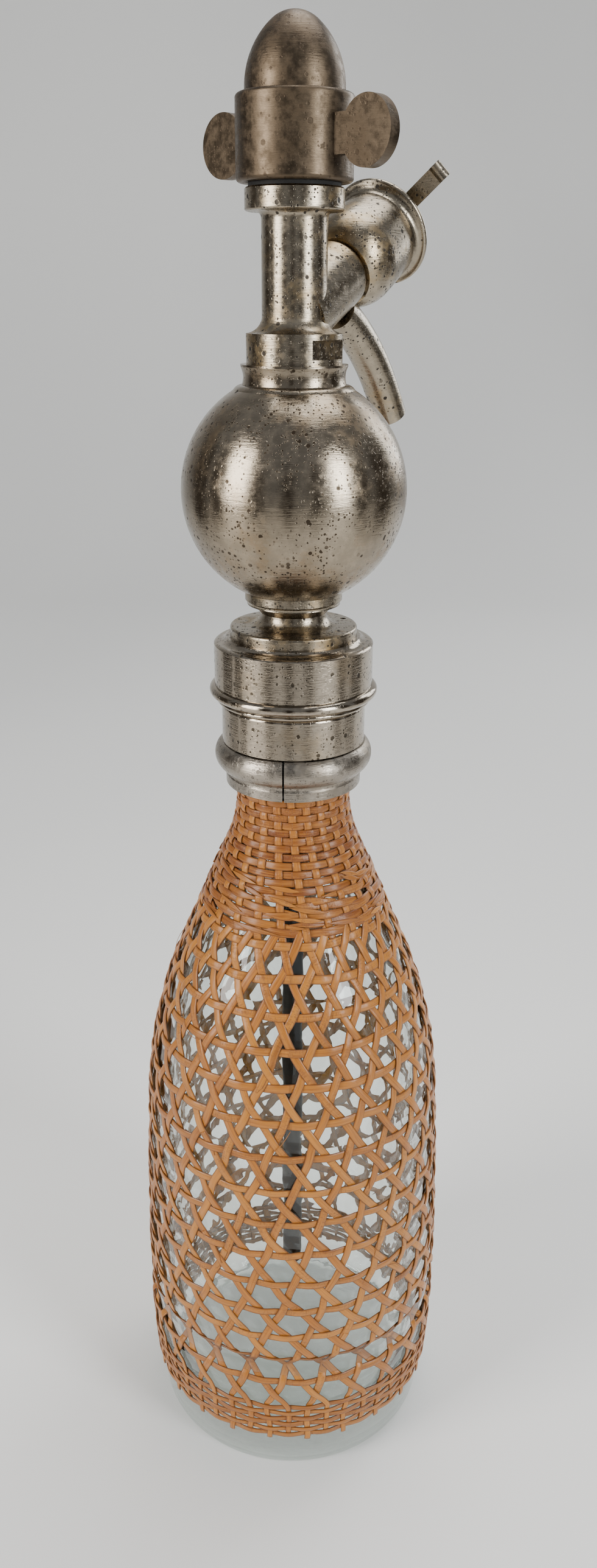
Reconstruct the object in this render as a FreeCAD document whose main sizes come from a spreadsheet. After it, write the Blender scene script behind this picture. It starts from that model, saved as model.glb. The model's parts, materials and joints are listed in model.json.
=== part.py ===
"""Soda siphon: a cane-covered glass bottle with a turned metal head.

The origin is the centre of the flat underside of the glass, +Z points up and the front is towards -Y.
All sizes are millimetres and degrees, and all of them live in the spreadsheet Sizes.
"""
import FreeCAD, Part
import math
import os
import re
import Sketcher

doc = FreeCAD.newDocument("SodaSiphon")
sheet = doc.addObject("Spreadsheet::Sheet", "Sizes")

SIZES = {
    # fits shared by all pieces
    "face_gap": 0.05,
    "running_gap": 0.06,
    "turning_gap": 0.3,
    # glass bottle: each inset is from the belly radius and each rise is from the station below
    "belly_radius": 45.4,
    "foot_inset": 4.8,
    "foot_edge_height": 2.8,
    "foot_edge_inset": 2.6,
    "heel_height": 13.0,
    "heel_inset": 1.5,
    "belly_rise": 35.0,
    "chest_rise": 71.0,
    "chest_inset": 2.3,
    "shoulder_rise": 41.0,
    "shoulder_inset": 11.6,
    "throat_rise": 39.0,
    "throat_radius": 17.2,
    "neck_rise": 12.0,
    "neck_radius": 14.7,
    "mouth_bore_radius": 9.6,
    "mouth_stand": 0.6,
    "glass_wall": 4.6,
    "glass_base": 9.5,
    # cane cover
    "cane_thickness": 1.6,
    "lattice_thickness": 1.0,
    "cane_foot_drop": 0.5,
    "foot_weave_height": 16.5,
    "neck_weave_drop": 18.0,
    "hoop_width": 2.3,
    "hoop_count": 15,
    "hoop_gap_above": 4.2,
    "hoop_gap_below": 9.2,
    # collar and ferrule on the neck
    "collar_rise": 4.6,
    "collar_height": 12.2,
    "collar_roll_radius": 21.6,
    "collar_band_radius": 18.6,
    "collar_bore_radius": 15.3,
    "collar_slit": 0.5,
    "collar_slit_shift": -2.9,
    "ferrule_radius": 19.5,
    "ferrule_band_height": 10.9,
    "ferrule_thread_radius": 17.9,
    "ferrule_thread_height": 11.5,
    "packing_thickness": 0.9,
    # screw cap
    "cap_ring_radius": 21.3,
    "cap_ring_height": 11.2,
    "cap_bead_radius": 22.7,
    "cap_bead_height": 3.0,
    "cap_lip_height": 1.6,
    "cap_lip_radius": 20.9,
    "cap_top_radius": 18.1,
    "cap_roof": 2.2,
    "vent_radius": 0.8,
    "vent_circle_radius": 14.4,
    "vent_azimuth": 22.0,
    "neck_washer_thickness": 2.6,
    "slip_ring_thickness": 1.0,
    # stem below the globe
    "disc_radius": 16.9,
    "disc_height": 3.0,
    "waist_radius": 8.7,
    "waist_height": 4.6,
    "saucer_radius": 12.9,
    "saucer_height": 5.2,
    "saucer_gap": 1.5,
    "stem_bore_radius": 4.4,
    "stem_thread_radius": 6.4,
    "stem_nut_radius": 9.2,
    "stem_nut_height": 3.0,
    # globe
    "globe_radius": 28.8,
    "globe_wall": 1.2,
    "globe_bottom_bore": 5.0,
    "globe_neck_radius": 11.6,
    "globe_lip_radius": 13.3,
    "globe_lip_height": 2.6,
    "globe_neck_height": 1.6,
    "globe_neck_bore": 8.05,
    "union_ring_radius": 11.85,
    "union_ring_height": 7.1,
    "spanner_flat": 10.3,
    "spanner_flat_height": 4.4,
    "spanner_azimuth": -39.0,
    # column
    "column_radius": 7.95,
    "column_spigot_radius": 8.0,
    "column_spigot_drop": 9.0,
    "column_flare_height": 3.4,
    "column_height": 26.9,
    "column_flange_radius": 11.85,
    "column_flange_height": 5.1,
    "bulb_seat_radius": 10.3,
    "bulb_seat_height": 13.0,
    "bulb_pocket_radius": 9.0,
    "bulb_pocket_depth": 2.2,
    "duct_radius": 3.1,
    "gas_way_radius": 0.9,
    "gas_way_offset": 5.6,
    "gas_way_azimuth": 237.0,
    # gas bulb and its cap
    "bulb_radius": 8.4,
    "bulb_neck_radius": 3.8,
    "bulb_neck_height": 8.0,
    "bulb_length": 41.2,
    "bulb_steel": 0.9,
    "seal_thickness": 2.0,
    "pin_radius": 1.0,
    "pin_reach": 3.2,
    "pin_holder_height": 4.0,
    "check_seat_height": 1.2,
    "band_radius": 13.8,
    "band_height": 18.3,
    "band_gap": 0.9,
    "dome_radius": 11.6,
    "dome_height": 16.6,
    "dome_wall": 2.2,
    "wing_radius": 7.3,
    "wing_thickness": 3.0,
    "wing_distance": 23.2,
    "wing_neck_height": 8.4,
    "wing_azimuth": -45.0,
    # valve, measured along the branch from the column axis
    "branch_offset": 4.04,
    "branch_rise": 26.0,
    "branch_azimuth": 57.0,
    "branch_radius": 8.5,
    "branch_length": 22.7,
    "branch_edge": 1.6,
    "seat_length": 3.6,
    "seat_radius": 5.2,
    "seat_bore_radius": 2.4,
    "cup_radius": 12.1,
    "cup_centre_rise": 5.0,
    "cup_waist_radius": 11.4,
    "cup_waist_rise": 2.0,
    "cup_rim_radius": 13.75,
    "cup_rim_rise": 3.7,
    "cup_wall": 2.2,
    "cup_floor_rise": 3.3,
    "cup_ledge_rise": 9.5,
    "bonnet_radius": 10.6,
    "bonnet_thickness": 4.0,
    "gland_radius": 4.0,
    "gland_depth": 2.2,
    "gland_nut_height": 2.2,
    "valve_stem_radius": 1.5,
    "valve_disc_radius": 4.3,
    "valve_disc_thickness": 1.8,
    "valve_holder_height": 3.0,
    # lever
    "lever_turn": 54.0,
    "lever_arm": 7.5,
    "lever_reach": 21.8,
    "lever_width": 4.4,
    "lever_thickness": 1.8,
    "lever_clearance": 3.4,
    "lever_crank": 3.2,
    "lever_rise_start": 6.0,
    "lever_overlap": 0.5,
    "lever_knee": 1.0,
    "lever_ridge": 2.4,
    "lever_pin_radius": 1.0,
    "lever_eye_radius": 2.2,
    "lug_thickness": 1.4,
    "button_radius": 3.0,
    # spout, in the vertical plane of the branch
    "spout_start_reach": 20.5,
    "spout_start_rise": 0.7,
    "spout_start_fall": 27.0,
    "spout_bend_radius": 68.0,
    "spout_bend": 28.0,
    "spout_end_length": 7.0,
    "spout_radius": 4.7,
    "spout_bore_radius": 3.1,
    "outlet_radius": 1.7,
    "outlet_reach": 27.0,
    "outlet_depth": 4.0,
    "outlet_above": 4.4,
    # dip tube
    "tube_radius": 3.0,
    "tube_bore_radius": 1.9,
    "tube_bottom": 46.0,
    "check_ball_radius": 1.6,
    "check_floor": 2.4,
    "spring_wire": 0.8,
    "spring_turns": 6,
    "check_wire": 0.3,
    "check_turns": 3,
}

for row, (name, number) in enumerate(SIZES.items(), start=1):
    sheet.set("A%d" % row, name)
    sheet.set("B%d" % row, str(number))
    sheet.setAlias("B%d" % row, name)
doc.recompute()


# Sizes that follow from others, written out in full wherever a formula names them
DERIVED = {
    "foot_radius": "belly_radius - foot_inset",
    "foot_edge_radius": "belly_radius - foot_edge_inset",
    "heel_radius": "belly_radius - heel_inset",
    "chest_radius": "belly_radius - chest_inset",
    "shoulder_radius": "belly_radius - shoulder_inset",
    "belly_height": "heel_height + belly_rise",
    "chest_height": "belly_height + chest_rise",
    "shoulder_height": "chest_height + shoulder_rise",
    "throat_height": "shoulder_height + throat_rise",
    "neck_height": "throat_height + neck_rise",
    "collar_bottom": "neck_height + collar_rise",
    "cane_bottom": "heel_height - cane_foot_drop",
    "foot_weave_top": "cane_bottom + foot_weave_height",
    "neck_weave_bottom": "throat_height - neck_weave_drop",
    "hoop_top": "neck_weave_bottom - hoop_gap_above",
    "hoop_pitch": "(hoop_top - foot_weave_top - hoop_gap_below) / (hoop_count - 1)",
    "cup_floor": "branch_length + cup_floor_rise",
    "cup_centre": "cup_floor + cup_centre_rise",
    "cup_ledge": "cup_centre + cup_ledge_rise",
    "cup_waist": "cup_ledge + cup_waist_rise",
    "cup_rim": "cup_waist + cup_rim_rise",
    "lever_height": "cup_rim + lever_clearance",
}


def linked(text):
    """Turn plain size names in a formula into references to the spreadsheet."""
    def swap(word):
        name = word.group(0)
        if name in DERIVED:
            return "(%s)" % linked(DERIVED[name])
        return "Sizes." + name if name in SIZES else name
    return re.sub(r"[A-Za-z_]\w*", swap, text)


def value(text):
    """Work out a formula of size names."""
    result = sheet.evalExpression(linked(text))
    return float(getattr(result, "Value", result))


def origin_plane(body, role):
    return next(item for item in body.Origin.OriginFeatures if item.Role == role)


def hold(sketch, geometry, position, formulas):
    """Tie one point of a sketch to two formulas, measured from the sketch's origin."""
    for kind, axis, formula in zip(("DistanceX", "DistanceY"), (-2, -1), formulas):
        number = value(formula)
        if abs(number) < 1e-9:
            sketch.addConstraint(Sketcher.Constraint("PointOnObject", geometry, position, axis))
            continue
        ends = (-1, 1, geometry, position) if number > 0 else (geometry, position, -1, 1)
        index = sketch.addConstraint(Sketcher.Constraint(kind, *ends, abs(number)))
        sign = "" if number > 0 else "-"
        sketch.setExpression("Constraints[%d]" % index, "%s(%s)" % (sign, linked(formula)))


def outline(sketch, points):
    """Draw a closed outline.

    A point is a pair of formulas. A point marked "arc" lies half way round an arc between its neighbours.
    """
    corners = [point for point in points if len(point) == 2]
    first = None
    last = None
    here = 0
    arcs = {}
    for point in points:
        if len(point) == 3:
            arcs[here - 1] = point[:2]
        else:
            here += 1
    for number, start in enumerate(corners):
        finish = corners[(number + 1) % len(corners)]
        ends = [FreeCAD.Vector(value(x), value(y), 0) for x, y in (start, finish)]
        if number in arcs:
            middle = FreeCAD.Vector(value(arcs[number][0]), value(arcs[number][1]), 0)
            curve = Part.Arc(ends[0], middle, ends[1])
            edge = sketch.addGeometry(curve)
            forward = sketch.getPoint(edge, 1).distanceToPoint(ends[0]) < 1e-6
            begin, end = (1, 2) if forward else (2, 1)
            mark = sketch.addGeometry(Part.Point(middle), True)
            hold(sketch, mark, 1, arcs[number])
            sketch.addConstraint(Sketcher.Constraint("PointOnObject", mark, 1, edge))
        else:
            edge = sketch.addGeometry(Part.LineSegment(*ends))
            begin, end = 1, 2
        hold(sketch, edge, begin, start)
        if last is not None:
            sketch.addConstraint(Sketcher.Constraint("Coincident", last[0], last[1], edge, begin))
        if first is None:
            first = (edge, begin)
        last = (edge, end)
    sketch.addConstraint(Sketcher.Constraint("Coincident", last[0], last[1], first[0], first[1]))


def sketch_on(body, role, name):
    sketch = body.newObject("Sketcher::SketchObject", name)
    sketch.AttachmentSupport = [(origin_plane(body, role), "")]
    sketch.MapMode = "FlatFace"
    return sketch


def crown(radius, drop, top):
    """Give the middle of an arc that ends on the axis at the top, from a point a drop below it."""
    ball = "(((%s) ^ 2 + (%s) ^ 2) / (2 * (%s)))" % (radius, drop, drop)
    return "(%s) / 2" % radius, "%s - %s + sqrt(%s ^ 2 - (%s) ^ 2 / 4)" % (top, ball, ball, radius), "arc"


def turned(name, points):
    """Make a body by turning an outline of (radius, height) points about its own Z axis."""
    body = doc.addObject("PartDesign::Body", name)
    body.Label = name
    sketch = sketch_on(body, "XZ_Plane", name + "_outline")
    outline(sketch, points)
    turn = body.newObject("PartDesign::Revolution", name + "_turn")
    turn.Profile = sketch
    turn.ReferenceAxis = (sketch, ["V_Axis"])
    turn.Angle = 360
    sketch.Visibility = False
    doc.recompute()
    return body


def ring(name, inner, outer, bottom, top):
    return turned(name, [(inner, bottom), (outer, bottom), (outer, top), (inner, top)])


def bound(item, **formulas):
    """Bind properties of a primitive to formulas, and its place with the words x, y and z."""
    for key, formula in formulas.items():
        path = "Placement.Base." + key if key in "xyz" else key
        item.setExpression(path, linked(formula))
    return item


def rod(name, radius, bottom, top, x="0", y="0"):
    """Make an upright cylinder between two levels."""
    item = doc.addObject("Part::Cylinder", name)
    bound(item, Radius=radius, Height="(%s) - (%s)" % (top, bottom), x=x, y=y, z=bottom)
    return item


def joined(name, kind, base, tool):
    """Cut, fuse or intersect two objects."""
    item = doc.addObject("Part::" + kind, name)
    item.Base = base
    item.Tool = tool
    return item


def cut_by(name, base, tools):
    """Cut an object by several others, one after the other."""
    for number, tool in enumerate(tools[:-1]):
        base = joined("%s_step_%d" % (name, number), "Cut", base, tool)
    return joined(name, "Cut", base, tools[-1])


def drilled(name, base, tools):
    """Cut an object by several others in one step, for bores that cross each other."""
    doc.recompute()
    item = doc.addObject("Part::Feature", name)
    item.Label = name
    item.Shape = base.Shape.cut([tool.Shape for tool in tools])
    return item


def gathered(name, shapes):
    item = doc.addObject("Part::MultiFuse", name)
    item.Shapes = shapes
    return item


def at_branch(item, distance="0"):
    """Stand an object on the branch axis, its own Z along the branch and X towards the underside."""
    reach = "(%s) * cos(branch_rise)" % distance
    base = ("vector(%s * cos(branch_azimuth); %s * sin(branch_azimuth);"
            " branch_height + (%s) * sin(branch_rise))")
    turn = "rotation(branch_azimuth; 90 - branch_rise; 0)"
    formula = "placement(%s; %s)" % (base % (reach, reach, distance), turn)
    item.setExpression("Placement", linked(formula))
    return item


# Levels of the stack above the bottle, each from the piece below it
FERRULE_BOTTOM = "(collar_bottom + collar_height)"
FERRULE_SHOULDER = "(collar_bottom + collar_height + ferrule_band_height)"
FERRULE_TOP = "(collar_bottom + collar_height + ferrule_band_height + ferrule_thread_height)"
MOUTH = "(collar_bottom + collar_height + ferrule_band_height + ferrule_thread_height + mouth_stand)"
WASHER_BOTTOM = MOUTH
SLIP_BOTTOM = "(%s + neck_washer_thickness)" % WASHER_BOTTOM
ROOF_BOTTOM = "(%s + slip_ring_thickness)" % SLIP_BOTTOM
ROOF_TOP = "(%s + cap_roof)" % ROOF_BOTTOM
CAP_BOTTOM = "(%s + turning_gap)" % FERRULE_SHOULDER
DISC_TOP = "(%s + disc_height)" % ROOF_TOP
SAUCER_BOTTOM = "(%s + waist_height)" % DISC_TOP
GLOBE_CENTRE = "(%s + saucer_gap + globe_radius)" % SAUCER_BOTTOM
GLOBE_TOP = "(%s + sqrt(globe_radius ^ 2 - globe_neck_radius ^ 2))" % GLOBE_CENTRE
LIP_BOTTOM = "(%s + globe_neck_height)" % GLOBE_TOP
LIP_TOP = "(%s + globe_lip_height)" % LIP_BOTTOM
COLUMN_BOTTOM = "(%s + union_ring_height)" % LIP_TOP
FLANGE_TOP = "(%s + column_height + column_flange_height)" % COLUMN_BOTTOM
SEAT_TOP = "(%s + bulb_seat_height)" % FLANGE_TOP
POCKET_FLOOR = "(%s - bulb_pocket_depth)" % FLANGE_TOP
NECK_FLOOR = "(%s - bulb_neck_height)" % POCKET_FLOOR
BAND_BOTTOM = "(%s + band_gap)" % FLANGE_TOP
BAND_TOP = "(%s + band_height)" % BAND_BOTTOM
DOME_TOP = "(%s + dome_height)" % BAND_TOP
DERIVED["branch_height"] = COLUMN_BOTTOM + " + branch_offset"
DERIVED["spout_start_height"] = "branch_height + spout_start_rise"


def glass_outside(extra="0"):
    """Give the outside of the glass from its heel to its neck, moved out by an extra thickness."""
    def at(radius, height):
        return "%s + %s" % (radius, extra), height

    def between(low_radius, low, high_radius, high, bulge, share="0.5"):
        radius = "%s * (1 - %s) + %s * %s + %s + %s" % (low_radius, share, high_radius, share, bulge, extra)
        return radius, "%s * (1 - %s) + %s * %s" % (low, share, high, share), "arc"

    return [
        at("heel_radius", "heel_height"),
        between("heel_radius", "heel_height", "belly_radius", "belly_height", "0.45"),
        at("belly_radius", "belly_height"),
        between("belly_radius", "belly_height", "chest_radius", "chest_height", "0.45"),
        at("chest_radius", "chest_height"),
        between("chest_radius", "chest_height", "shoulder_radius", "shoulder_height", "1.5"),
        at("shoulder_radius", "shoulder_height"),
        at("throat_radius", "throat_height"),
        between("throat_radius", "throat_height", "neck_radius", "neck_height", "-0.55"),
        at("neck_radius", "neck_height"),
    ]


def glass_bottle():
    inside = list(reversed(glass_outside("-glass_wall")))
    inside[0] = ("mouth_bore_radius", "neck_height - 4")
    inside[1] = ("mouth_bore_radius + 0.7", "throat_height + 1.5", "arc")
    inside[2] = ("throat_radius - glass_wall", "throat_height - 4")
    inside[-1] = ("heel_radius - glass_wall - 0.9", "glass_base + 6.5")
    return turned("glass_bottle", [
        ("0", "0"),
        ("foot_radius", "0"),
        ("foot_radius + (foot_edge_radius - foot_radius) * 0.7", "foot_edge_height * 0.3", "arc"),
        ("foot_edge_radius", "foot_edge_height"),
        *glass_outside(),
        ("neck_radius", MOUTH),
        ("mouth_bore_radius", MOUTH),
        *inside,
        ("heel_radius - glass_wall - 3", "glass_base + 1.8", "arc"),
        ("heel_radius - glass_wall - 7.5", "glass_base"),
        ("0", "glass_base"),
    ])


def cane_shell(name, inner, outer):
    """Make a thin shell that follows the glass from the heel to the collar."""
    outside = glass_outside(outer)
    inside = glass_outside(inner)
    low = "cane_bottom"
    return turned(name, [
        ("heel_radius + %s - 0.05" % inner, low),
        ("heel_radius + %s - 0.05" % outer, low),
        *outside,
        ("neck_radius + %s" % outer, "collar_bottom - face_gap"),
        ("neck_radius + %s" % inner, "collar_bottom - face_gap"),
        *reversed(inside),
    ])


def cane_cover():
    """Divide the cane cover into its woven neck, open lattice, hoops and woven foot band."""
    cover = cane_shell("cane_cover", "face_gap", "cane_thickness")
    zones = {"cane_neck_weave": ("neck_weave_bottom", "collar_bottom"),
             "cane_foot_band": ("cane_bottom", "foot_weave_top")}
    for name, (low, high) in zones.items():
        slab = rod(name + "_slab", "belly_radius * 2", low, high)
        yield joined(name, "Common", cover, slab)
    lattice = cane_shell("cane_lattice_shell", "face_gap", "lattice_thickness")
    slab = rod("cane_lattice_slab", "belly_radius * 2", "foot_weave_top", "neck_weave_bottom")
    yield joined("cane_lattice", "Common", lattice, slab)
    hoop_shell = cane_shell("cane_hoop_shell", "lattice_thickness", "cane_thickness")
    levels = []
    for number in range(int(value("hoop_count"))):
        middle = "hoop_top - hoop_pitch * %d" % number
        levels.append(rod("cane_hoop_level_%d" % number, "belly_radius * 2",
                          "%s - hoop_width / 2" % middle, "%s + hoop_width / 2" % middle))
    yield joined("cane_hoops", "Common", hoop_shell, gathered("cane_hoop_levels", levels))


def split_collar():
    """Make the soft metal collar, with a roll above, a waist and a narrow band, split at the front."""
    low = "collar_bottom"
    body = turned("split_collar", [
        ("collar_bore_radius", low),
        ("collar_band_radius", low),
        ("collar_band_radius + 0.1", low + " + 2.6"),
        ("collar_band_radius + 0.1", low + " + 4.0", "arc"),
        ("collar_roll_radius - 1.5", low + " + 4.8"),
        ("collar_roll_radius", low + " + collar_height - 4.2", "arc"),
        ("ferrule_radius + 0.3", low + " + collar_height - 0.4"),
        ("ferrule_radius - 0.8", low + " + collar_height - face_gap"),
        ("collar_bore_radius", low + " + collar_height - face_gap"),
    ])
    sketch = sketch_on(body, "XY_Plane", "collar_slit_outline")
    left, right = "collar_slit_shift", "collar_slit_shift + collar_slit"
    outline(sketch, [(left, "0 - collar_roll_radius * 2"), (right, "0 - collar_roll_radius * 2"),
                     (right, "0"), (left, "0")])
    cut = body.newObject("PartDesign::Pocket", "collar_slit_cut")
    cut.Profile = sketch
    cut.Midplane = True
    cut.setExpression("Length", linked("4 * (collar_bottom + collar_height)"))
    sketch.Visibility = False
    return body


def bottle_ferrule():
    """Make the ring cemented on the glass neck, with the stub of its thread above a shoulder."""
    bore = "neck_radius + packing_thickness + 2 * face_gap"
    low = FERRULE_BOTTOM
    yield turned("bottle_ferrule", [
        (bore, low),
        ("ferrule_radius", low),
        ("ferrule_radius", FERRULE_SHOULDER + " - 0.9"),
        ("ferrule_radius - 0.4", FERRULE_SHOULDER + " - 0.2", "arc"),
        ("ferrule_radius - 0.8", FERRULE_SHOULDER),
        ("ferrule_thread_radius", FERRULE_SHOULDER),
        ("ferrule_thread_radius", FERRULE_TOP),
        (bore, FERRULE_TOP),
    ])
    yield ring("ferrule_packing", "neck_radius + face_gap", bore + " - face_gap", low, FERRULE_TOP)


def neck_seals():
    inner = "stem_nut_radius + 0.5"
    outer = "ferrule_thread_radius - 0.4"
    yield ring("neck_washer", inner, outer, WASHER_BOTTOM, SLIP_BOTTOM)
    yield ring("neck_slip_ring", inner, outer, SLIP_BOTTOM, ROOF_BOTTOM)


def screw_cap():
    """Make the cap that screws on the ferrule: ogee shoulder, wide ring, bead and a thin lip."""
    bore = "ferrule_thread_radius + turning_gap"
    low = CAP_BOTTOM
    bead = low + " + cap_lip_height"
    ring_low = bead + " + cap_bead_height"
    ring_top = ring_low + " + cap_ring_height"
    return turned("screw_cap", [
        (bore, low),
        ("cap_lip_radius - 0.5", low),
        ("cap_lip_radius", low + " + 0.6", "arc"),
        ("cap_lip_radius - 0.3", low + " + 1.2"),
        ("cap_lip_radius - 0.3", bead),
        ("cap_ring_radius + 0.1", bead),
        ("cap_bead_radius", bead + " + cap_bead_height * 0.55", "arc"),
        ("cap_ring_radius", ring_low),
        ("cap_ring_radius", ring_top),
        ("cap_ring_radius - 0.5", ring_top + " + 0.45", "arc"),
        ("cap_ring_radius - 1.2", ring_top + " + 0.6"),
        ("cap_top_radius + 0.3", ring_top + " + 1.1", "arc"),
        ("cap_top_radius - 0.3", ROOF_TOP),
        ("stem_thread_radius", ROOF_TOP),
        ("stem_thread_radius", ROOF_BOTTOM),
        (bore, ROOF_BOTTOM),
    ])


def ball_stem():
    """Make the turned stem: disc on the cap, waist, saucer under the globe and a threaded tail."""
    vent = rod("vent_drill", "vent_radius", ROOF_TOP + " + 1.2", DISC_TOP + " + 1",
               "vent_circle_radius * cos(vent_azimuth)", "vent_circle_radius * sin(vent_azimuth)")
    globe_level = "%s - sqrt((globe_radius + face_gap) ^ 2 - (%s) ^ 2)"
    stem = turned("ball_stem_turned", [
        ("stem_bore_radius", ROOF_BOTTOM + " - stem_nut_height"),
        ("stem_thread_radius - face_gap", ROOF_BOTTOM + " - stem_nut_height"),
        ("stem_thread_radius - face_gap", ROOF_TOP),
        ("disc_radius", ROOF_TOP),
        ("disc_radius", DISC_TOP + " - 0.7"),
        ("disc_radius - 0.2", DISC_TOP + " - 0.2", "arc"),
        ("disc_radius - 0.7", DISC_TOP),
        ("waist_radius + 3.4", DISC_TOP + " + 0.2"),
        ("waist_radius + 0.9", DISC_TOP + " + 1.2", "arc"),
        ("waist_radius", DISC_TOP + " + 3.4"),
        ("waist_radius + 1.2", DISC_TOP + " + waist_height", "arc"),
        ("saucer_radius - 0.6", DISC_TOP + " + waist_height + 1.2"),
        ("saucer_radius", DISC_TOP + " + waist_height + 2.4", "arc"),
        ("saucer_radius - 0.1", DISC_TOP + " + saucer_height"),
        ("saucer_radius - 0.1", globe_level % (GLOBE_CENTRE, "saucer_radius - 0.1")),
        ("saucer_radius * 0.5", globe_level % (GLOBE_CENTRE, "saucer_radius * 0.5"), "arc"),
        ("stem_bore_radius", globe_level % (GLOBE_CENTRE, "stem_bore_radius")),
    ])
    yield joined("ball_stem", "Cut", stem, vent)
    nut = doc.addObject("Part::Prism", "stem_nut_blank")
    nut.Polygon = 6
    bound(nut, Circumradius="stem_nut_radius", Height="stem_nut_height - 0.5",
          z=ROOF_BOTTOM + " - stem_nut_height + 0.5 - face_gap")
    hole = rod("stem_nut_thread", "stem_thread_radius", ROOF_BOTTOM + " - stem_nut_height - 2", ROOF_BOTTOM)
    yield joined("stem_nut", "Cut", nut, hole)


def globe():
    """Make the two halves of the hollow globe, with a flanged neck on the upper one."""
    inner = "(globe_radius - globe_wall)"
    middle = GLOBE_CENTRE
    low_bore = "globe_bottom_bore"
    yield turned("globe_lower", [
        (inner, middle),
        ("globe_radius", middle),
        ("globe_radius * cos(45)", middle + " - globe_radius * sin(45)", "arc"),
        (low_bore, "%s - sqrt(globe_radius ^ 2 - %s ^ 2)" % (middle, low_bore)),
        (low_bore, "%s - sqrt(%s ^ 2 - %s ^ 2)" % (middle, inner, low_bore)),
        (inner + " * cos(45)", middle + " - %s * sin(45)" % inner, "arc"),
    ])
    top_bore = "globe_neck_bore"
    surface = "%s + sqrt(globe_radius ^ 2 - (%s) ^ 2)"
    yield turned("globe_upper", [
        ("globe_radius", middle),
        (inner, middle),
        (inner + " * cos(35)", middle + " + %s * sin(35)" % inner, "arc"),
        (top_bore, "%s + sqrt(%s ^ 2 - %s ^ 2)" % (middle, inner, top_bore)),
        (top_bore, LIP_TOP),
        ("globe_lip_radius", LIP_TOP),
        ("globe_lip_radius", LIP_TOP + " - 0.5"),
        ("globe_neck_radius + 1.1", LIP_BOTTOM + " + 0.2", "arc"),
        ("globe_neck_radius + 1.4", GLOBE_TOP + " - 0.6"),
        ("globe_neck_radius + 2.2", surface % (middle, "globe_neck_radius + 2.2") + " + 0.35", "arc"),
        ("globe_neck_radius + 3.6", surface % (middle, "globe_neck_radius + 3.6")),
        ("globe_radius * cos(30)", middle + " + globe_radius * sin(30)", "arc"),
    ])


def union_ring():
    """Make the ring between globe and column, with two flats for a spanner."""
    bore = "column_spigot_radius + face_gap"
    body = ring("union_ring", bore, "union_ring_radius", LIP_TOP, COLUMN_BOTTOM)
    sketch = sketch_on(body, "XY_Plane", "spanner_flats")
    for side in (1, -1):
        near, far = "%d * spanner_flat" % side, "%d * union_ring_radius * 1.5" % side
        corners = [(near, "0 - union_ring_radius"), (far, "0 - union_ring_radius"),
                   (far, "union_ring_radius"), (near, "union_ring_radius")]
        outline(sketch, corners)
    sketch.setExpression("AttachmentOffset", linked(
        "placement(vector(0; 0; %s + union_ring_height / 2); rotation(spanner_azimuth; 0; 0))" % LIP_TOP))
    cut = body.newObject("PartDesign::Pocket", "spanner_cut")
    cut.Profile = sketch
    cut.Midplane = True
    cut.setExpression("Length", "Sizes.spanner_flat_height")
    sketch.Visibility = False
    return body


def column():
    """Make the column with its flared foot, bulb seat and the stout branch that carries the valve."""
    low = COLUMN_BOTTOM
    flange = FLANGE_TOP + " - column_flange_height"
    turned_column = turned("column_turned", [
        ("0", low + " - column_spigot_drop"),
        ("column_spigot_radius", low + " - column_spigot_drop"),
        ("column_spigot_radius", low),
        ("union_ring_radius", low),
        ("column_radius + 1.2", low + " + 1.2", "arc"),
        ("column_radius", low + " + column_flare_height"),
        ("column_radius", flange + " - 1.6"),
        ("column_radius + 0.5", flange + " - 0.4", "arc"),
        ("column_radius + 2", flange),
        ("column_flange_radius - 0.5", flange),
        ("column_flange_radius - 0.1", flange + " + 0.2", "arc"),
        ("column_flange_radius", flange + " + 0.8"),
        ("column_flange_radius", FLANGE_TOP + " - 0.4"),
        ("column_flange_radius - 0.4", FLANGE_TOP),
        ("bulb_seat_radius", FLANGE_TOP),
        ("bulb_seat_radius", SEAT_TOP),
        ("bulb_pocket_radius", SEAT_TOP),
        ("bulb_pocket_radius", FLANGE_TOP),
        ("bulb_neck_radius + 0.4", POCKET_FLOOR),
        ("bulb_neck_radius + 0.4", NECK_FLOOR + " - seal_thickness - pin_holder_height"),
        ("0", NECK_FLOOR + " - seal_thickness - pin_holder_height"),
    ])
    branch = doc.addObject("Part::Cylinder", "branch_blank")
    bound(branch, Radius="branch_radius", Height="branch_length")
    edge = doc.addObject("Part::Fillet", "branch_rounded")
    edge.Base = branch
    at_branch(branch)
    doc.recompute()
    rim = [number for number, item in enumerate(branch.Shape.Edges, start=1)
           if item.CenterOfMass.z > value("branch_height + branch_length * sin(branch_rise) - 0.1")
           and item.Closed]
    edge.Edges = [(number, value("branch_edge"), value("branch_edge")) for number in rim]
    trimmed = joined("branch_trimmed", "Cut", edge, rod("branch_clearance", "union_ring_radius * 3",
                                                        low + " - 30", low))
    seat = doc.addObject("Part::Cylinder", "valve_seat_nose")
    bound(seat, Radius="seat_radius", Height="seat_length + 4")
    at_branch(seat, "branch_length - 4")
    solid = gathered("column_solid", [turned_column, trimmed, seat])
    drills = [
        rod("gland_pocket", "duct_radius + 2", low + " - column_spigot_drop - 1",
            low + " - column_spigot_drop + 3"),
        rod("duct", "duct_radius", low + " - column_spigot_drop - 1", "branch_height + duct_radius * 0.8"),
        rod("check_chamber", "check_ball_radius + 0.6", "branch_height + duct_radius + check_floor",
            NECK_FLOOR + " - seal_thickness - pin_holder_height + 0.1"),
        gas_way(low),
        cross_way(),
        at_branch(bound(doc.addObject("Part::Cylinder", "branch_duct"), Radius="seat_bore_radius",
                        Height="branch_length + seat_length + 1")),
        spout_solid("spout_socket", "spout_radius + face_gap"),
    ]
    return drilled("column_body", solid, drills)


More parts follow.
